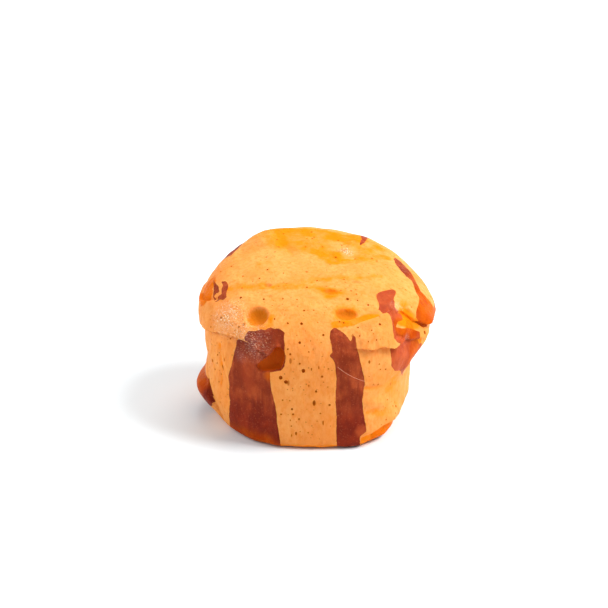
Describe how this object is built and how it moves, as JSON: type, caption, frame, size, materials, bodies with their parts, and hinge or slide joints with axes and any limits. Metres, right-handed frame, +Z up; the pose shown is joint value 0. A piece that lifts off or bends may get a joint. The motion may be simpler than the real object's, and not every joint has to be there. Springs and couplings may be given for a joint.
{
  "type": "salt water taffy",
  "caption": "Squat pillow of pulled candy with darker bands laid into its sides, folds lapping over the shoulder and open air bubbles; stands on its flat foot.",
  "frame": {"origin": "middle of the flat foot, on the surface the candy stands on", "axes": "+Z up, -Y towards the front with the two broad upright bands, +X to the right seen from the front"},
  "size_m": [0.0271, 0.0242, 0.0183],
  "materials": {
    "cream_candy": "satin pulled candy, cream orange, with fine air pores",
    "red_candy": "satin pulled candy, red brown, thin edges glow orange"
  },
  "bodies": {
    "root": {"taffy": "cream_candy", "stripe_front_left": "red_candy", "stripe_front_right": "red_candy", "stripe_right": "red_candy", "stripe_far_right": "red_candy", "stripe_back_right": "red_candy", "stripe_back": "red_candy", "stripe_back_left": "red_candy", "stripe_left": "red_candy"}
  },
  "joints": []
}
